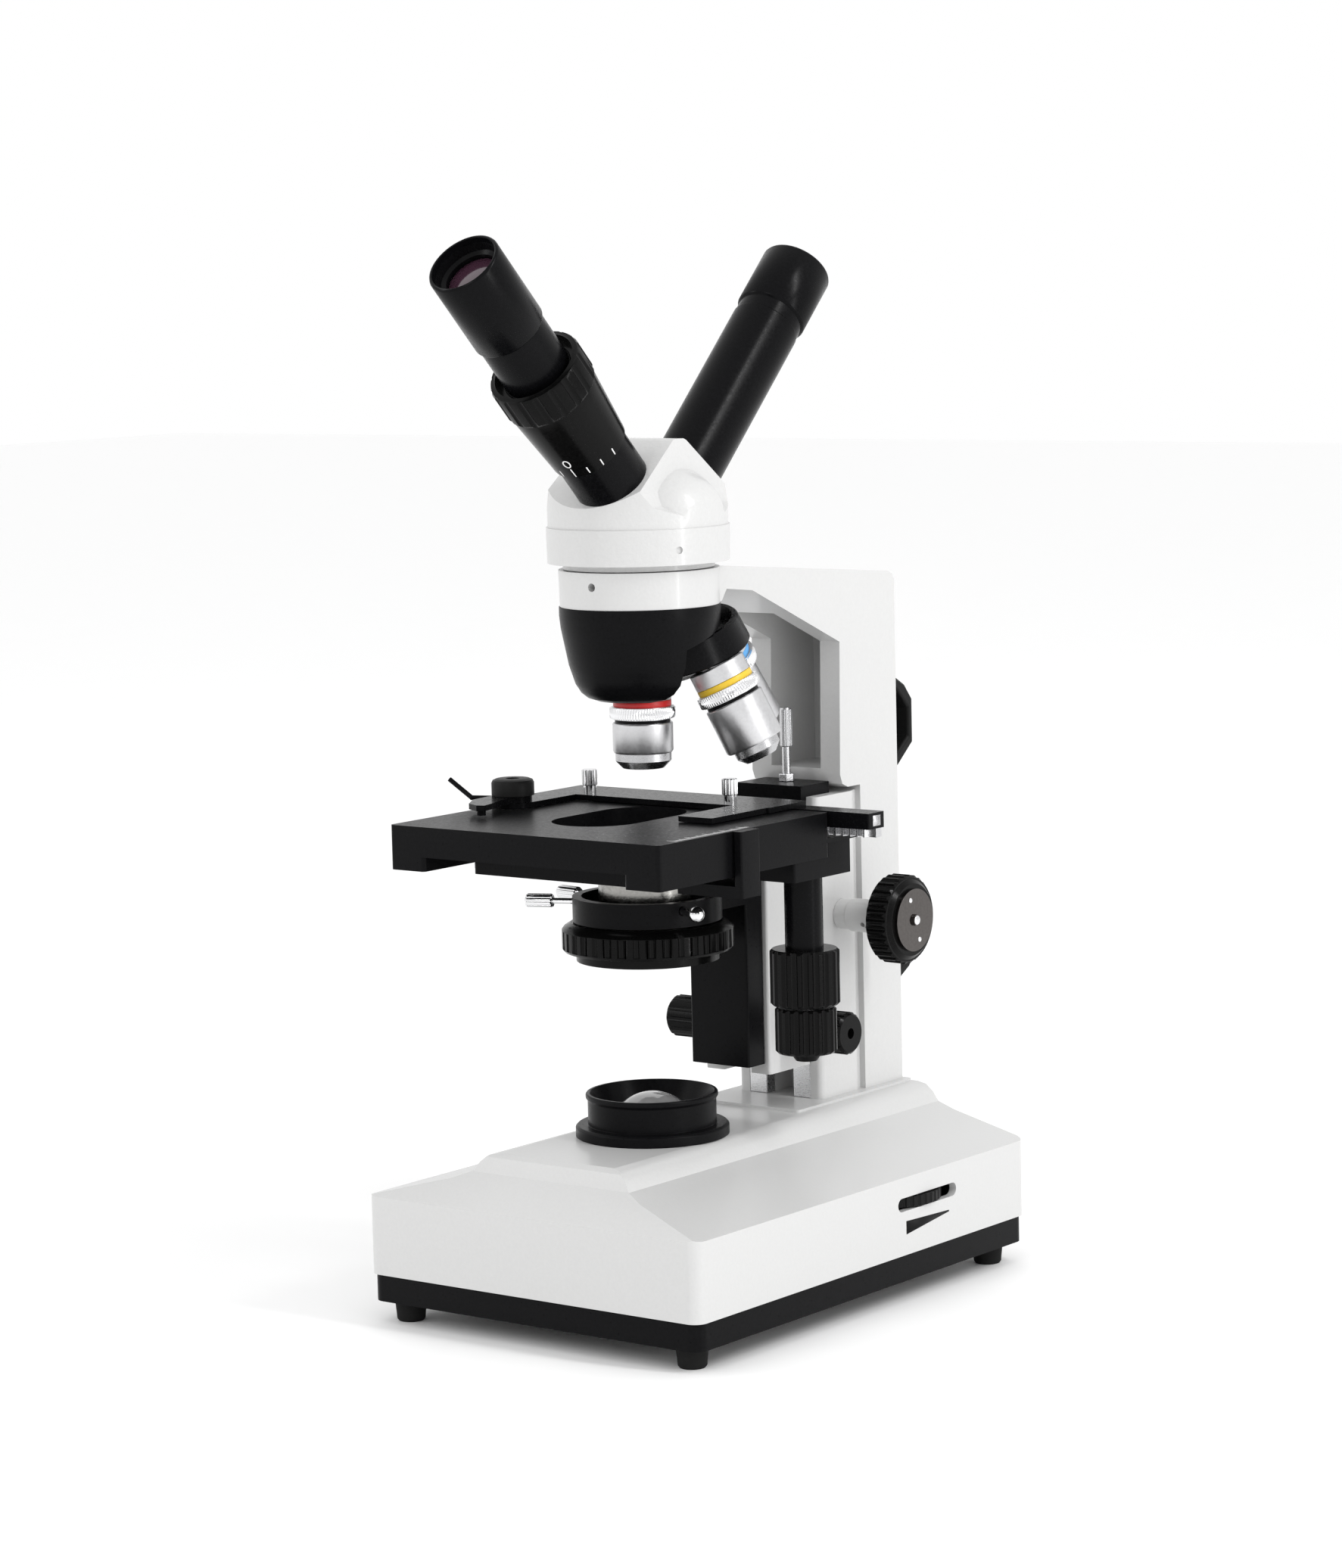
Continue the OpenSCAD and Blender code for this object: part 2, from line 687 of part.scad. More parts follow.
module turret() {
    color([0.1, 0.1, 0.1]) on_axis() on_turret() difference() {
        rotate_extrude() polygon([
            [0, -9], [22, -9], [23.4, -13], [25, -13], [25.6, -12.4], [27.8, -3.2], [27.4, -2.6],
            [24.8, -1.75], [10.5, 2.9], [7, 5.4], [0, 6]]);
        for (i = [0:3]) rotate(i * 90) translate([0, seat_circle_r, 0])
            rotate([-turret_lean, 0, 0]) translate([0, 0, -12]) cylinder(r = 6, h = 20);
        translate([0, 0, -10]) cylinder(r = 3, h = 18);
    }
}

// Objective that hangs from its seat: collar, knurled ring, barrel and nose.
module objective(length, barrel_r, nose_r) {
    step = length - 5.6;
    color("silver") difference() {
        rotate_extrude() polygon([
            [4, -4.5], [5.95, -4.5], [5.95, 0.15], [10.6, 0.15], [10.6, 8.5], [12, 8.7], [12, 12.8],
            [barrel_r - 1, 13], [barrel_r - 1, 14.4], [barrel_r, 14.6], [barrel_r, step - 0.8],
            [barrel_r - 0.6, step], [nose_r, step], [nose_r, length - 2.6], [nose_r - 2.6, length],
            [3.2, length], [2.6, length - 1], [0, length - 1], [0, length - 4], [4, length - 6]]);
        for (i = [0:35]) rotate(i * 10) translate([12.4, 0, 9])
            cylinder(r = 0.55, h = 3.5, $fn = 16);
    }
}

module objective_4x() on_axis() at_seat(0) objective(31, 11, 10.2);
module objective_10x() on_axis() at_seat(270) objective(37.5, 11, 8.6);
module objective_40x() on_axis() at_seat(180) objective(43.6, 9.6, 6.8);
module objective_100x() on_axis() at_seat(90) objective(44.6, 9.6, 6.8);

// ---------------------------------------------------------------- head

// Frame along a viewing tube: origin where the axes meet, +Z up the tube; side -1 is the front.
module along_tube(side)
    translate([tube_x, 0, tube_cross_z]) rotate([-side * tube_lean, 0, 0]) children();

module head_casting() {
    color("white") on_axis() difference() {
        union() {
            translate([0, 0, 275.1]) cylinder(r1 = 33, r2 = 33.2, h = 12.9);
            intersection() {
                z_rod(287, 320, 0, 0, 32.6);
                translate([-40, 0, 0]) rotate([90, 0, 90]) linear_extrude(80) polygon([
                    [-33, 280], [33, 280], [33, 295.5], [4, 318.6], [2.5, 319.2],
                    [-2.5, 319.2], [-4, 318.6], [-33, 295.5]]);
                union() {
                    translate([0, 40, 0]) rotate([90, 0, 0]) linear_extrude(80) polygon([
                        [-33, 280], [33, 280], [33, 291], [24, 296], [21, 301], [19.6, 320],
                        [-19.6, 320], [-21, 301], [-24, 296], [-33, 291]]);
                    for (s = [-1, 1]) translate([s * 14, 0, 289]) sphere(r = 20.5);
                }
            }
            z_rod(265.6, 276, 0, 0, 22 - slip);
            z_rod(272.9, 276, 0, 0, 27.5);
        }
        along_tube(-1) cylinder(r = 11.65, h = 70);
        along_tube(1) cylinder(r = 11.65, h = 70);
        along_tube(-1) translate([0, 0, 20]) cylinder(r = 13.5, h = 70);
        along_tube(1) translate([0, 0, 20]) cylinder(r = 12.8, h = 70);
        z_rod(260, 292, 0, 0, 16);
        block(tube_x - 8.2, tube_x + 8.2, -6.2, 6.2, 290, 305.2);
        rotate(-26) x_rod(32.2, 35, 0, 280.5, 1.3);
    }
}

module view_tubes() {
    color([0.06, 0.06, 0.06]) on_axis() {
        along_tube(-1) difference() {
            union() {
                translate([0, 0, 20]) cylinder(r = 13.5, h = 27.5);
                translate([0, 0, 20]) cylinder(r = 12.9, h = 66.5);
            }
            translate([0, 0, 19]) cylinder(r = 11.6 + slip, h = 90);
        }
        along_tube(1) difference() {
            translate([0, 0, 20]) cylinder(r = 12.8, h = 83.4);
            translate([0, 0, 19]) cylinder(r = 11.6 + slip, h = 90);
        }
    }
}

module diopter_ring() {
    color([0.06, 0.06, 0.06]) on_axis() along_tube(-1) translate([0, 0, 47.8]) difference() {
        union() {
            rotate_extrude() polygon([
                [12.9 + slip, 0], [14.5, 0], [16.8, 28], [16.8, 41], [15.2, 41.6], [15.2, 38.4],
                [12.9 + slip, 38.4]]);
            rotate_extrude() polygon([
                [16, 28.4], [16.9, 28.4], [17.5, 29.4], [17.5, 40.2], [17, 41.2], [16, 41.2]]);
        }
        for (i = [0:17]) rotate(i * 20) translate([18.7, 0, 28])
            cylinder(r = 1.9, h = 30, $fn = 24);
    }
}

// Eyepiece that plugs into a tube; z = 0 is its shoulder, neck_h the plain part above it.
module eyepiece(top, neck_r, neck_h) {
    color([0.05, 0.05, 0.05]) rotate_extrude() polygon([
        [9.6, -24], [11.6, -24], [11.6, 0], [neck_r, 0], [neck_r, neck_h], [eyepiece_r, neck_h + 0.6],
        [eyepiece_r, top - 0.8], [eyepiece_r - 0.8, top], [12, top], [11.2, top - 5],
        [9.6, top - 6]]);
    color([0.6, 0.5, 0.8, 0.5]) intersection() {
        translate([0, 0, top - 6.4 - 30]) sphere(r = 30, $fn = 96);
        translate([0, 0, top - 12]) cylinder(r = 9.6, h = 10);
    }
}

module eyepiece_front() on_axis() along_tube(-1) translate([0, 0, 86.6]) eyepiece(54.2, 12.5, 20.6);

module eyepiece_rear() on_axis() along_tube(1) translate([0, 0, 103.5]) eyepiece(29.5, 12.5, 4.6);

module beam_splitter() {
    color([0.8, 0.9, 1, 0.5]) on_axis() block(tube_x - 8, tube_x + 8, -6, 6, 293, 305);
}

base_casting();
bottom_plate();
feet();
plate_screws();
arm_casting();
slide_guides();
lamp_housing();
field_lens();
lamp_socket();
lamp_bulb();
driver_board();
power_inlet();
power_switch();
dimmer_wheel();
cord_hooks();
nosepiece_housing();
stop_bracket();
stop_lock_nut();
stop_screw();
tension_collars();
focus_shaft();
coarse_knobs();
coarse_cap();
fine_knob();
focus_carriage();
focus_rack();
stage_base();
stage_y_rack();
vernier_post();
stage_plate();
drive_block();
y_drive_tube();
y_knob();
x_drive_shaft();
x_knob();
x_bar();
x_rack();
slide_holder();
holder_screws();
finger_cap();
holder_finger();
condenser_bracket();
condenser_rack();
condenser_body();
condenser_lens();
condenser_screws();
iris_ring();
condenser_shaft();
condenser_knobs();
turret();
objective_4x();
objective_10x();
objective_40x();
objective_100x();
head_casting();
view_tubes();
diopter_ring();
eyepiece_front();
eyepiece_rear();
beam_splitter();
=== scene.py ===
"""Looks of a compound microscope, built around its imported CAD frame. Lengths are in metres."""

import json
import math

import bmesh
import bpy
from mathutils import Matrix, Vector


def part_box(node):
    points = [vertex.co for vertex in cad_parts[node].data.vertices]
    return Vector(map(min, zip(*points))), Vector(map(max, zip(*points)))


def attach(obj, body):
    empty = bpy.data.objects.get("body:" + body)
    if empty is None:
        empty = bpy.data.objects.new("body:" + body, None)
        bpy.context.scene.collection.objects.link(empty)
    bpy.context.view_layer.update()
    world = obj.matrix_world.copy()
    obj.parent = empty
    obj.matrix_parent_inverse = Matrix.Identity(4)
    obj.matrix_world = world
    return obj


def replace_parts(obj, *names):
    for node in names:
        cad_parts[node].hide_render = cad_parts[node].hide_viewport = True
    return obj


MM = 0.001
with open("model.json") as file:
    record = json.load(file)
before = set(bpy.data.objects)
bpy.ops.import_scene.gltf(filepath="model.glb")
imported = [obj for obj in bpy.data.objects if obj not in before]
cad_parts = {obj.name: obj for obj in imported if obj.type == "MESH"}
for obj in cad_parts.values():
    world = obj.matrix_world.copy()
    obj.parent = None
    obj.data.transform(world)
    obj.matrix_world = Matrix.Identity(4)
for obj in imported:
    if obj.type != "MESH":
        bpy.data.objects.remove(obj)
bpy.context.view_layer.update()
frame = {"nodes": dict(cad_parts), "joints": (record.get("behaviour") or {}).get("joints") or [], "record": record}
nodes = frame["nodes"]
joints = {j["name"]: j for j in frame["joints"]}
slot_of = {s["node"]: s["material_slot"] for s in frame["record"]["subparts"]}


# ---------------------------------------------------------------- places from the frame
def middle(node):
    """Middle of a CAD node's box, in metres."""
    low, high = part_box(node)
    return (low + high) / 2


# The optical axis stands over the middle of the lamp.
AXIS_Y = middle("lamp_housing").y


# ---------------------------------------------------------------- materials
def surface(
    name,
    color,
    rough,
    metal=0.0,
    shade=0.05,
    grain=900.0,
    rough_shift=0.05,
    bump=0.0,
    bump_scale=700.0,
    bump_depth=0.0002,
    stretch=(1, 1, 1),
    coat=0.0,
    transmission=0.0,
    shine=0.5,
):
    """Principled material whose colour, roughness and relief come from two noise patterns.
    shade and rough_shift are how far the first pattern moves the colour and the roughness."""
    mat = bpy.data.materials.new(name)
    mat.use_nodes = True
    tree = mat.node_tree
    shader = tree.nodes["Principled BSDF"]
    coords = tree.nodes.new("ShaderNodeTexCoord")
    scale = tree.nodes.new("ShaderNodeMapping")
    scale.inputs["Scale"].default_value = stretch
    noise = tree.nodes.new("ShaderNodeTexNoise")
    noise.inputs["Scale"].default_value = grain
    noise.inputs["Detail"].default_value = 4.0
    tree.links.new(coords.outputs["Object"], scale.inputs["Vector"])
    tree.links.new(scale.outputs["Vector"], noise.inputs["Vector"])
    ramp = tree.nodes.new("ShaderNodeValToRGB")
    ramp.color_ramp.elements[0].position = 0.3
    ramp.color_ramp.elements[1].position = 0.7
    ramp.color_ramp.elements[0].color = [c * (1 - shade) for c in color] + [1]
    ramp.color_ramp.elements[1].color = [min(1.0, c * (1 + shade)) for c in color] + [1]
    tree.links.new(noise.outputs["Fac"], ramp.inputs["Fac"])
    tree.links.new(ramp.outputs["Color"], shader.inputs["Base Color"])
    spread = tree.nodes.new("ShaderNodeMapRange")
    spread.inputs["From Min"].default_value = 0.3
    spread.inputs["From Max"].default_value = 0.7
    spread.inputs["To Min"].default_value = max(0.02, rough - rough_shift)
    spread.inputs["To Max"].default_value = min(1.0, rough + rough_shift)
    tree.links.new(noise.outputs["Fac"], spread.inputs["Value"])
    tree.links.new(spread.outputs["Result"], shader.inputs["Roughness"])
    shader.inputs["Metallic"].default_value = metal
    shader.inputs["Coat Weight"].default_value = coat
    shader.inputs["Coat Roughness"].default_value = 0.12
    shader.inputs["Transmission Weight"].default_value = transmission
    shader.inputs["IOR"].default_value = 1.45
    shader.inputs["Specular IOR Level"].default_value = shine
    if bump:
        relief = tree.nodes.new("ShaderNodeTexNoise")
        relief.inputs["Scale"].default_value = bump_scale
        relief.inputs["Detail"].default_value = 3.0
        tree.links.new(scale.outputs["Vector"], relief.inputs["Vector"])
        bend = tree.nodes.new("ShaderNodeBump")
        bend.inputs["Strength"].default_value = bump
        bend.inputs["Distance"].default_value = bump_depth
        tree.links.new(relief.outputs["Fac"], bend.inputs["Height"])
        tree.links.new(bend.outputs["Normal"], shader.inputs["Normal"])
    return mat


WHITE = (0.58, 0.58, 0.577)
paint = surface("white_paint", WHITE, 0.36, shade=0.015, bump=0.35, bump_scale=620, coat=0.2)
crinkle = surface(
    "white_crinkle", WHITE, 0.34, shade=0.015, bump=0.6, bump_scale=520, bump_depth=0.0003, coat=0.2
)
satin_black = surface(
    "satin_black", (0.004, 0.004, 0.0045), 0.32, shade=0.2, bump=0.12, bump_scale=2600,
    shine=0.08,
)
anodised = surface(
    "black_anodised", (0.003, 0.003, 0.0035), 0.25, shade=0.2, bump=0.05, bump_scale=3000,
    shine=0.09,
)
knob_gloss = surface(
    "knob_gloss", (0.003, 0.003, 0.003), 0.2, shade=0.2, bump=0.05, bump_scale=900, shine=0.11
)
matt_plastic = surface(
    "matt_plastic", (0.007, 0.007, 0.007), 0.45, shade=0.15, bump=0.15, bump_scale=2200, shine=0.15
)
rubber = surface(
    "rubber_black", (0.01, 0.01, 0.01), 0.75, shade=0.15, bump=0.2, bump_scale=1800, shine=0.15
)
steel = surface(
    "turned_steel", (0.60, 0.60, 0.61), 0.28, metal=1, shade=0.08, bump=0.1, bump_scale=1500,
    stretch=(1, 1, 6),
)
chrome = surface("chrome", (0.78, 0.78, 0.79), 0.10, metal=1, shade=0.02, rough_shift=0.03)
# Chrome with its colour darkened and warmed: a painted dark, brownish reflection of the surroundings, for the
# coarse knob's cap.
chrome_painted_dark_reflection = surface(
    "chrome_painted_dark_reflection", (0.10, 0.092, 0.088), 0.14, metal=1, shade=0.1, rough_shift=0.04
)
blasted = surface(
    "blasted_silver", (0.62, 0.62, 0.63), 0.34, metal=1, shade=0.05, bump=0.35, bump_scale=5200,
    bump_depth=0.00008,
)
brushed = surface(
    "brushed_silver", (0.52, 0.52, 0.53), 0.27, metal=1, shade=0.12, bump=0.15, bump_scale=1600,
    stretch=(1, 1, 14), bump_depth=0.0001,
)
worn_chrome = surface(
    "worn_chrome", (0.30, 0.295, 0.28), 0.2, metal=1, shade=0.2, bump=0.1, bump_scale=1200
)
glass = surface(
    "clear_glass", (0.93, 0.96, 0.97), 0.03, transmission=0.9, shade=0.01, rough_shift=0.01
)
coated = surface(
    "coated_glass", (0.05, 0.02, 0.035), 0.06, shade=0.08, grain=60, rough_shift=0.02, coat=1.0,
)
frosted = surface(
    "field_glass", (0.22, 0.22, 0.22), 0.08, shade=0.25, grain=90, rough_shift=0.03, coat=1.0
)
ceramic = surface("ceramic", (0.78, 0.75, 0.68), 0.6, bump=0.2, bump_scale=1400)
board = surface("circuit_board", (0.03, 0.16, 0.07), 0.4, shade=0.3, grain=400)
mark = surface("mark_white", (0.82, 0.82, 0.82), 0.5, shade=0.03)
ring_red = surface("ring_red", (0.55, 0.02, 0.02), 0.35, shade=0.05)
ring_yellow = surface("ring_yellow", (0.75, 0.50, 0.03), 0.35, shade=0.05)
ring_blue = surface("ring_blue", (0.10, 0.35, 0.70), 0.35, shade=0.05)
ring_pale = surface("ring_pale", (0.78, 0.78, 0.76), 0.35, shade=0.03)

LOOKS = {
    "white_paint": paint,
    "black_paint": satin_black,
    "black_anodised": anodised,
    "black_plastic": matt_plastic,
    "knob_black": knob_gloss,
    "rubber_black": rubber,
    "steel": steel,
    "chrome": chrome,
    "satin_silver": blasted,
    "clear_glass": glass,
    "eyepiece_black": anodised,
    "ceramic": ceramic,
    "board_green": board,
}
OWN_LOOK = {
    "head_casting": crinkle,
    "condenser_body": worn_chrome,
    # The coarse knob's cap gets the chrome with the painted dark reflection.
    "coarse_cap": chrome_painted_dark_reflection,
    "field_lens": frosted,
}

# Width of the rounding on each node's edges, in millimetres; others get the usual one.
USUAL_EDGE = 0.35
EDGE = {
    "base_casting": 1.2,
    "arm_casting": 1.2,
    "head_casting": 1.0,
    "bottom_plate": 0.6,
    "cord_hooks": 1.2,
    "focus_carriage": 0.6,
    "stage_plate": 0.5,
    "stage_base": 0.5,
    "feet": 0.4,
    "nosepiece_housing": 0.3,
    "focus_rack": 0.1,
    "stage_y_rack": 0.1,
    "x_rack": 0.1,
    "condenser_rack": 0.1,
    "focus_shaft": 0.1,
    "condenser_shaft": 0.1,
    "y_drive_tube": 0.1,
    "x_drive_shaft": 0.1,
    "stop_screw": 0.12,
    "holder_screws": 0.12,
    "condenser_screws": 0.12,
    "dimmer_wheel": 0.15,
    "field_lens": 0.1,
    "condenser_lens": 0.1,
    "slide_holder": 0.25,
    "holder_finger": 0.3,
    "lamp_housing": 0.2,
    "coarse_cap": 0.2,
}


def smooth_edges(obj, width):
    """Joins the surface's patches, rounds its sharp edges and shades the rest smooth."""
    mesh = obj.data
    if "custom_normal" in mesh.attributes:
        mesh.attributes.remove(mesh.attributes["custom_normal"])
    mesh.polygons.foreach_set("use_smooth", [True] * len(mesh.polygons))
    weld = obj.modifiers.new("join", "WELD")
    weld.merge_threshold = 2e-6
    bevel = obj.modifiers.new("edges", "BEVEL")
    bevel.width = width * MM
    bevel.segments = 3
    bevel.limit_method = "ANGLE"
    bevel.angle_limit = math.radians(30)
    bevel.harden_normals = True
    bevel.use_clamp_overlap = True


for name, obj in nodes.items():
    obj.data.materials.clear()
    obj.data.materials.append(OWN_LOOK.get(name, LOOKS[slot_of[name]]))
    smooth_edges(obj, EDGE.get(name, USUAL_EDGE))


# ---------------------------------------------------------------- making pieces
def split_edges(obj, degrees):
    """Keep edges sharper than this angle crisp under smooth shading."""
    obj.modifiers.new("edges", "EDGE_SPLIT").split_angle = math.radians(degrees)


def piece(name, verts, faces, look, body, slot_name, place=None):
    """A new mesh that rides on a body; place is its matrix in the row frame."""
    mesh = bpy.data.meshes.new(name)
    mesh.from_pydata(verts, [], faces)
    if place is not None:
        mesh.transform(place)
    mesh.validate()
    shell = bmesh.new()
    shell.from_mesh(mesh)
    bmesh.ops.recalc_face_normals(shell, faces=shell.faces)
    shell.to_mesh(mesh)
    shell.free()
    mesh.materials.append(look)
    mesh.polygons.foreach_set("use_smooth", [True] * len(mesh.polygons))
    obj = bpy.data.objects.new(name, mesh)
    bpy.context.scene.collection.objects.link(obj)
    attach(obj, body)
    return obj


def lathe(profile, steps=96, ripple=None):
    """Closed solid of revolution about Z from (radius, height) points in millimetres.
    ripple(radius, height, angle) moves a point's radius."""
    verts, faces = [], []
    count = len(profile)
    for i in range(steps):
        angle = 2 * math.pi * i / steps
        for radius, height in profile:
            r = ripple(radius, height, angle) if ripple else radius
            verts.append((r * MM * math.cos(angle), r * MM * math.sin(angle), height * MM))
    for i in range(steps):
        j = (i + 1) % steps
        for k in range(count):
            n = (k + 1) % count
            faces.append((i * count + k, j * count + k, j * count + n, i * count + n))
    return verts, faces


def disc(profile, steps=96):
    """Solid of revolution whose profile starts and ends on the axis."""
    verts, faces = [], []
    inner = profile[1:-1]
    count = len(inner)
    for i in range(steps):
        angle = 2 * math.pi * i / steps
        for radius, height in inner:
            r = radius * MM
            verts.append((r * math.cos(angle), r * math.sin(angle), height * MM))
    first = len(verts)
    verts.append((0, 0, profile[0][1] * MM))
    verts.append((0, 0, profile[-1][1] * MM))
    for i in range(steps):
        j = (i + 1) % steps
        faces.append((first, j * count, i * count))
        for k in range(count - 1):
            faces.append((i * count + k, j * count + k, j * count + k + 1, i * count + k + 1))
        faces.append((first + 1, i * count + count - 1, j * count + count - 1))
    return verts, faces


def slab(x0, x1, y0, y1, z0, z1):
    """Corner points and faces of a block, in millimetres."""
    verts = [(x * MM, y * MM, z * MM) for z in (z0, z1) for y in (y0, y1) for x in (x0, x1)]
    faces = [(0, 2, 3, 1), (4, 5, 7, 6), (0, 1, 5, 4), (2, 6, 7, 3), (0, 4, 6, 2), (1, 3, 7, 5)]
    return verts, faces


def joined(parts):
    """One mesh of several (verts, faces) parts."""
    verts, faces = [], []
    for part_verts, part_faces in parts:
        start = len(verts)
        verts.extend(part_verts)
        faces.extend(tuple(start + i for i in face) for face in part_faces)
    return verts, faces


# ---------------------------------------------------------------- objectives
turret_axis = Vector(joints["nosepiece_turn"]["axis"]).normalized()
turret_point = Vector(joints["nosepiece_turn"]["pos_m"])
# The objective in use hangs on the optical axis, under the turret's circle of seats.
SEAT_HEIGHT = 0.231
NOSE_LENGTH = 5.6
SEAT = Vector((0, AXIS_Y, SEAT_HEIGHT))


def seat_place(turn):
    """Matrix of a seat: origin at the seat, +Z towards the objective's tip."""
    spin = Matrix.Rotation(turn, 4, turret_axis)
    down = Matrix.Rotation(math.pi, 4, "X")
    about = Matrix.Translation(turret_point) @ spin @ Matrix.Translation(-turret_point)
    return about @ Matrix.Translation(SEAT) @ down


def knurl(count, depth, low, high):
    def shift(radius, height, angle):
        if low <= height <= high:
            return radius - depth * (0.5 + 0.5 * math.cos(count * angle))
        return radius

    return shift


def objective(name, turn, length, barrel, nose, ring_look):
    """An objective's turned pieces; length, barrel and nose radius are in millimetres."""
    place = seat_place(turn)
    step = length - NOSE_LENGTH

    def turned(part, shape, look, slot_name, split):
        obj = piece(f"{name}_{part}", *shape, look, "nosepiece", slot_name, place)
        split_edges(obj, split)
        return obj

    body = disc(
        [(0, -3.6), (5.9, -3.6), (5.9, 0.2), (10.4, 0.2), (10.6, 0.5), (10.6, 6.1), (10.2, 6.4)]
        + [(10.2, 8.4), (11.0, 8.6), (11.0, 13.0), (barrel - 1, 13.1), (barrel - 1, 14.4)]
        + [(barrel - 0.2, 14.5), (barrel, 14.8), (barrel, step - 0.8), (barrel - 0.5, step)]
        + [(0, step)]
    )
    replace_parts(turned("barrel", body, blasted, "satin_silver", 32), name)
    grip = lathe(
        [(9, 8.75), (11.7, 8.75), (11.95, 9.05), (11.95, 10.7), (11.95, 12.4), (11.7, 12.7)]
        + [(9, 12.7)],
        steps=288, ripple=knurl(72, 0.45, 8.9, 12.5),
    )
    turned("grip", grip, chrome, "chrome", 50)
    band = lathe([(9, 6.35), (10.45, 6.35), (10.6, 6.55), (10.6, 8.25), (10.45, 8.45), (9, 8.45)])
    turned("band", band, ring_look, "satin_silver", 50)
    groove = lathe(
        [(barrel - 2, 13.15), (barrel - 0.9, 13.15), (barrel - 0.9, 14.35), (barrel - 2, 14.35)]
    )
    turned("groove", groove, satin_black, "satin_silver", 50)
    tip = lathe(
        [(3.1, length - 2.5), (3.1, length - 0.5), (3.6, length), (nose - 2.6, length)]
        + [(nose - 0.3, length - 2.3), (nose, length - 2.8), (nose, step - 0.3), (3.4, step - 0.3)]
    )
    turned("tip", tip, brushed, "chrome", 28)
    lens = disc(
        [(0, length - 2.6), (3.2, length - 2.6), (3.2, length - 1.1), (1.8, length - 0.7)]
        + [(0, length - 0.6)]
    )
    turned("lens", lens, coated, "clear_glass", 60)


objective("objective_4x", 0.0, 31.0, 11.0, 10.2, ring_red)
objective("objective_10x", math.pi / 2, 37.5, 11.0, 8.6, ring_yellow)
objective("objective_40x", math.pi, 43.6, 9.6, 6.8, ring_blue)
objective("objective_100x", -math.pi / 2, 44.6, 9.6, 6.8, ring_pale)


# ---------------------------------------------------------------- eyepieces
def tube_place(joint_name, distance):
    """Matrix on a viewing tube's axis at a distance in millimetres from where the axes meet."""
    axis = Vector(joints[joint_name]["axis"]).normalized()
    x = Vector((1, 0, 0))
    turn = Matrix((x, axis.cross(x), axis)).transposed().to_4x4()
    crossing = Vector(joints["diopter_turn"]["pos_m"])
    return Matrix.Translation(crossing + axis * distance * MM) @ turn


def eyepiece(name, joint_name, body, shoulder, length, neck_height):
    """An eyepiece whose shoulder is this far along its tube; all sizes are in millimetres."""
    place = tube_place(joint_name, shoulder)
    barrel = piece(
        f"{name}_barrel",
        *lathe(
            [(9.7, -24), (11.5, -24), (11.5, 0), (12.5, 0), (12.5, neck_height)]
            + [(13.1, neck_height + 0.4), (13.4, neck_height + 0.9), (13.4, length - 0.9)]
            + [(13.1, length - 0.25), (12.6, length), (12.1, length - 0.2), (11.7, length - 2.4)]
            + [(11.2, length - 5.2), (9.7, length - 6)],
            steps=128,
        ),
        anodised, body, "eyepiece_black", place,
    )
    split_edges(barrel, 40)
    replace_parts(barrel, name)
    rim = piece(
        f"{name}_rim",
        *lathe(
            [(11.9, length - 2.3), (11.6, length - 2.3), (11.25, length - 4.9)]
            + [(11.6, length - 5.0)],
            steps=240, ripple=knurl(60, 0.22, length - 6, length),
        ),
        satin_black, body, "eyepiece_black", place,
    )
    split_edges(rim, 60)
    turns = [math.pi * k / 24 for k in range(11, -1, -1)]
    dome = [(9.9 * math.sin(a), length - 8.2 + 2.0 * math.cos(a)) for a in turns]
    piece(
        f"{name}_lens", *disc([(0, length - 11), (9.9, length - 11)] + dome),
        coated, body, "clear_glass", place,
    )


eyepiece("eyepiece_front", "front_ocular_pull", "front_ocular", 86.6, 54.2, 20.6)
eyepiece("eyepiece_rear", "rear_ocular_pull", "rear_ocular", 103.5, 29.5, 4.6)


# ---------------------------------------------------------------- diopter marks
def cone_point(turn, along, lift):
    """Point on the diopter ring's cone: 14.5 mm radius at 47.8 mm, 16.8 mm at 75.8 mm."""
    radius = 14.5 + (along - 47.8) * 2.3 / 28 + lift
    return Vector((radius * MM * math.cos(turn), radius * MM * math.sin(turn), along * MM))


def cone_patch(turn, along, wide, tall, lift=0.06, sink=0.3):
    """Thin raised patch on the cone; wide is round it and tall along it, in millimetres."""
    half = wide / 2 / 15
    corners = [(turn + a, along + h) for h in (0, tall) for a in (-half, half)]
    verts = [tuple(cone_point(a, h, -sink)) for a, h in corners]
    verts += [tuple(cone_point(a, h, lift)) for a, h in corners]
    faces = [(0, 2, 3, 1), (4, 5, 7, 6), (0, 1, 5, 4), (2, 6, 7, 3), (0, 4, 6, 2), (1, 3, 7, 5)]
    return verts, faces


def cone_zero(turn, along, wide, tall, line, steps=40):
    """The figure 0 as a thin raised oval ring on the cone."""
    verts, faces = [], []
    for i in range(steps):
        a = 2 * math.pi * i / steps
        for scale in (0, line):
            w = (wide / 2 - scale) * math.cos(a) / 15
            h = (tall / 2 - scale) * math.sin(a)
            verts.append(tuple(cone_point(turn + w, along + h, 0.06)))
            verts.append(tuple(cone_point(turn + w, along + h, -0.3)))
    for i in range(steps):
        j = (i + 1) % steps
        a, b = 4 * i, 4 * j
        faces += [(a, b, b + 2, a + 2), (a + 1, a + 3, b + 3, b + 1)]
        faces += [(a, a + 1, b + 1, b), (a + 2, b + 2, b + 3, a + 3)]
    return verts, faces


ZERO_TURN = math.radians(-80)
marks = [cone_patch(ZERO_TURN + math.radians(22 * k), 48.1, 0.45, 3.0) for k in (-2, -1, 1, 2, 3)]
marks.append(cone_patch(ZERO_TURN, 48.1, 0.45, 4.2))
marks.append(cone_zero(ZERO_TURN, 55.0, 2.9, 4.0, 0.5))
crossing_place = tube_place("front_ocular_pull", 0)
piece("diopter_marks", *joined(marks), mark, "diopter", "knob_black", crossing_place)


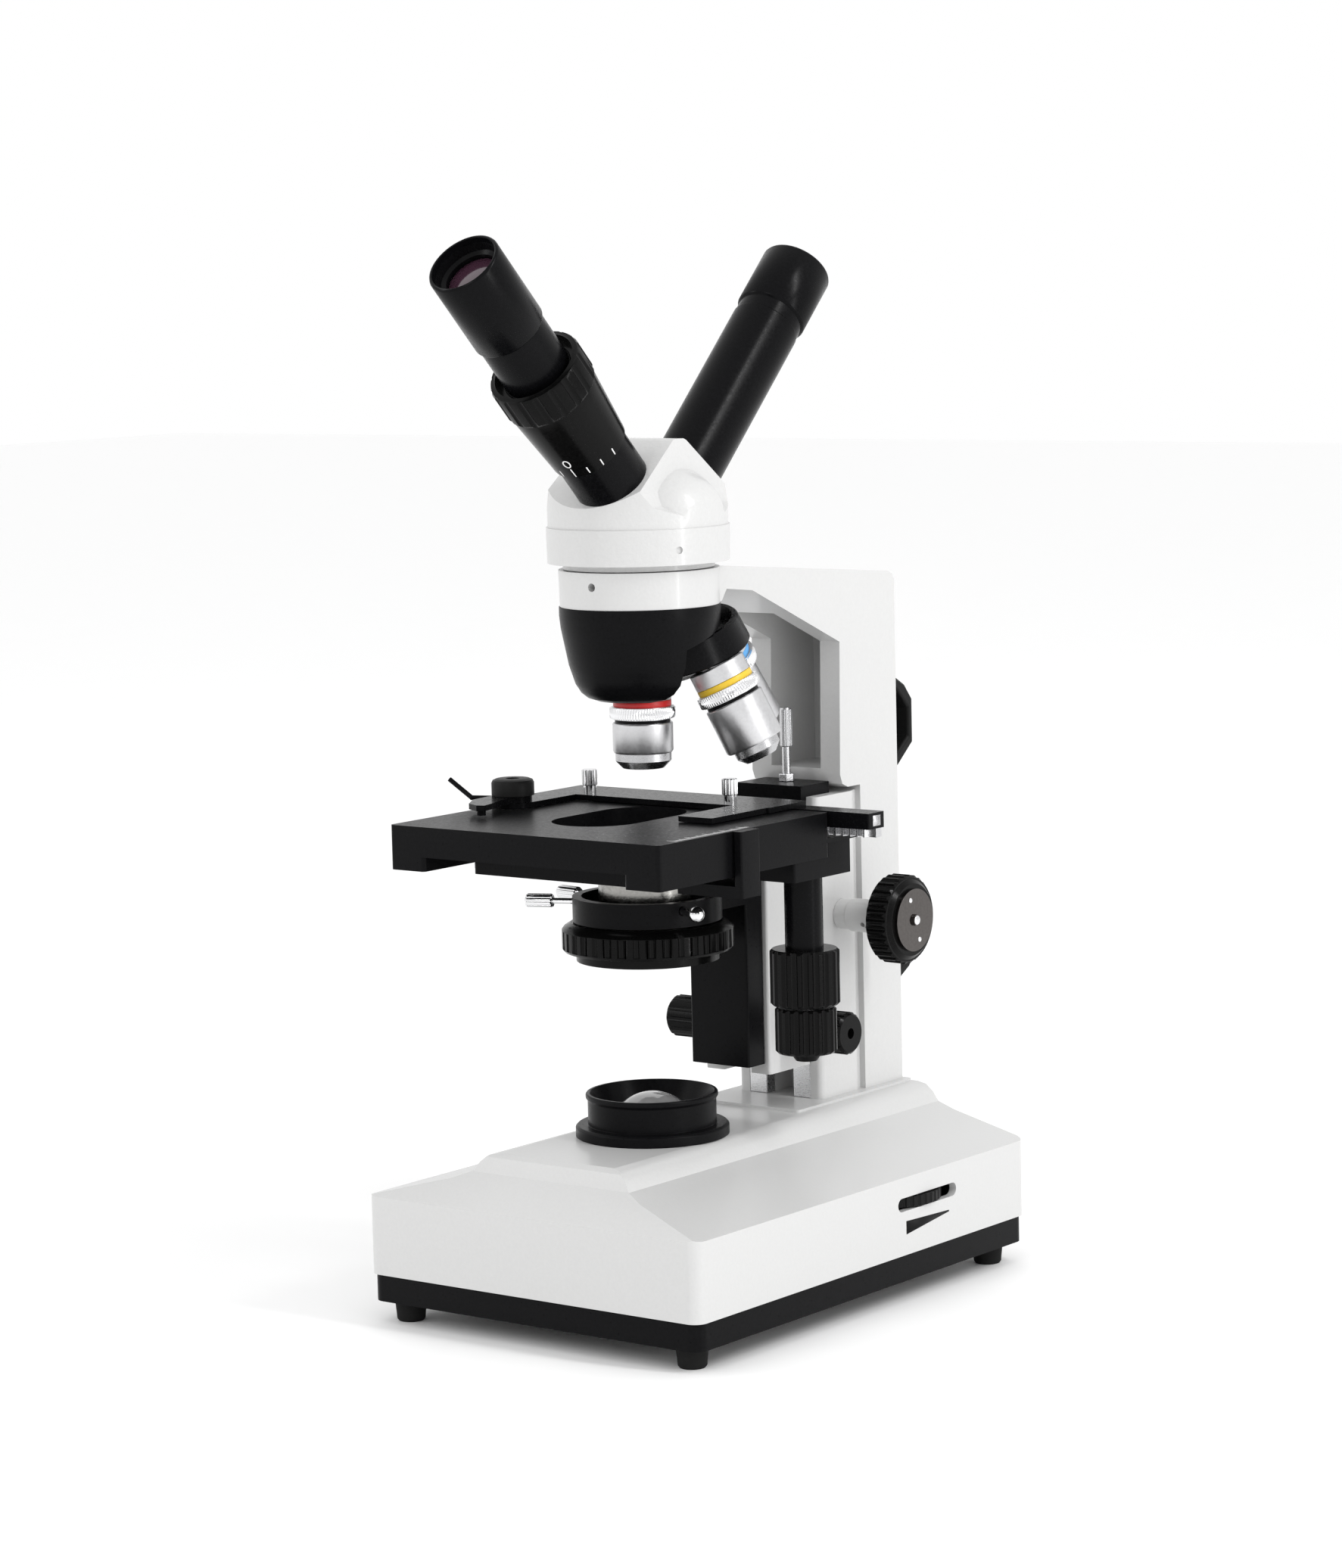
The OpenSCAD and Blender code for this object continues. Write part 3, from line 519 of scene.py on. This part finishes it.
# ---------------------------------------------------------------- stage scale and lamp wedge
stage_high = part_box("stage_plate")[1]
SCALE_X = stage_high.x / MM - 1.6
SCALE_Y = AXIS_Y / MM - 59
STAGE_TOP = stage_high.z / MM
ticks = []
for k in range(43):
    length = 4.2 if k % 10 == 0 else 3.0 if k % 5 == 0 else 1.9
    y = SCALE_Y + k
    ticks.append(
        slab(SCALE_X - length, SCALE_X, y - 0.12, y + 0.12, STAGE_TOP - 0.2, STAGE_TOP + 0.03)
    )
piece("stage_scale", *joined(ticks), mark, "stage_y", "black_paint")

wall_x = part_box("base_casting")[1].x / MM
wheel_low, wheel_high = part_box("dimmer_wheel")
wheel_y = (wheel_low.y + wheel_high.y) / 2 / MM
wedge = [
    (wall_x - 0.3, wheel_y - 14, 25.6),
    (wall_x - 0.3, wheel_y + 14, 29.0),
    (wall_x - 0.3, wheel_y + 14, 29.6),
    (wall_x - 0.3, wheel_y - 14, 30.6),
]
verts = [(x * MM, y * MM, z * MM) for x, y, z in wedge]
verts += [((x + 0.34) * MM, y * MM, z * MM) for x, y, z in wedge]
faces = [(0, 3, 2, 1), (4, 5, 6, 7), (0, 1, 5, 4), (1, 2, 6, 5), (2, 3, 7, 6), (3, 0, 4, 7)]
piece("brightness_wedge", verts, faces, matt_plastic, "frame", "black_plastic")


# ---------------------------------------------------------------- screws of the coarse knob's cap
cap_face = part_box("coarse_cap")[1].x
cap_middle = middle("coarse_cap")
dome = [(0, -0.4), (1, -0.4), (1, 0.05), (0.8, 0.28), (0.45, 0.4), (0, 0.44)]
cap_screws = (("middle", 0, 0, 1.8, 0), ("front", 20, 8.2, 1.0, 1.0), ("back", 200, 8.2, 1.0, 1.0))
for label, turn, reach, size, sink in cap_screws:
    spot = Vector((
        cap_face - sink * MM,
        cap_middle.y + reach * MM * math.sin(math.radians(turn)),
        cap_middle.z - reach * MM * math.cos(math.radians(turn)),
    ))
    piece(
        f"cap_screw_{label}", *disc([(r * size, h) for r, h in dome], steps=48),
        chrome, "coarse_focus", "chrome",
        Matrix.Translation(spot) @ Matrix.Rotation(math.pi / 2, 4, "Y"),
    )


# ---------------------------------------------------------------- plug in the end of the X bar
bar_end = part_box("x_bar")[1].x / MM
bar_y, bar_z = middle("x_bar").y / MM, middle("x_bar").z / MM
piece(
    "bar_end_plug",
    *slab(bar_end - 1, bar_end + 0.03, bar_y - 2.3, bar_y + 2.3, bar_z - 1.9, bar_z + 1.9),
    steel, "stage_x", "steel",
)


# ---------------------------------------------------------------- floor, light and camera
floor_mesh = bpy.data.meshes.new("floor")
SPAN = 6.0
floor_mesh.from_pydata(
    [(-SPAN, -SPAN, 0), (SPAN, -SPAN, 0), (SPAN, SPAN, 0), (-SPAN, SPAN, 0)], [], [(0, 1, 2, 3)]
)
floor_mesh.materials.append(surface("floor_pale", (0.97, 0.97, 0.97), 0.6, shade=0.002, grain=20))
floor = bpy.data.objects.new("floor", floor_mesh)
bpy.context.scene.collection.objects.link(floor)

world = bpy.data.worlds.new("studio")
bpy.context.scene.world = world
world.use_nodes = True
world.node_tree.nodes["Background"].inputs["Color"].default_value = (1.0, 1.0, 1.0, 1)
world.node_tree.nodes["Background"].inputs["Strength"].default_value = 1.0


def soft_light(name, place, target, size, watts):
    data = bpy.data.lights.new(name, "AREA")
    data.shape = "RECTANGLE"
    data.size, data.size_y = size
    data.energy = watts
    light = bpy.data.objects.new(name, data)
    light.location = place
    light.rotation_euler = (Vector(target) - Vector(place)).to_track_quat("-Z", "Y").to_euler()
    bpy.context.scene.collection.objects.link(light)


AIM = (0, 0, 0.2)
soft_light("key", (1.45, 0.10, 1.45), AIM, (0.12, 0.9), 12)
soft_light("side", (1.9, 0.15, 0.30), AIM, (0.10, 1.1), 7)
soft_light("fill", (-1.3, -1.2, 0.9), AIM, (0.3, 0.9), 4)
soft_light("front", (0.2, -1.9, 1.2), AIM, (0.3, 0.8), 4)

# The camera stands in front on the right, a little above the stage.
FOCAL_LENGTH = 100.94
SENSOR_WIDTH = 36
TURN, TILT, ROLL = math.radians(37.566), math.radians(6.919), math.radians(1.367)
CAMERA = Vector((0.9741, -1.2505 + AXIS_Y, 0.3860))
back = Vector((math.sin(TURN) * math.cos(TILT), -math.cos(TURN) * math.cos(TILT), math.sin(TILT)))
right = Vector((math.cos(TURN), math.sin(TURN), 0))
up = back.cross(right)
right_rolled = right * math.cos(ROLL) - up * math.sin(ROLL)
up_rolled = right * math.sin(ROLL) + up * math.cos(ROLL)
lens = bpy.data.cameras.new("camera")
lens.sensor_width = SENSOR_WIDTH
lens.lens = FOCAL_LENGTH
lens.clip_start = 0.05
lens.clip_end = 50
camera = bpy.data.objects.new("camera", lens)
turned = Matrix((right_rolled, up_rolled, back)).transposed().to_4x4()
camera.matrix_world = Matrix.Translation(CAMERA) @ turned
bpy.context.scene.collection.objects.link(camera)
bpy.context.scene.camera = camera
bpy.context.scene.view_settings.view_transform = "Standard"

bpy.context.view_layer.update()
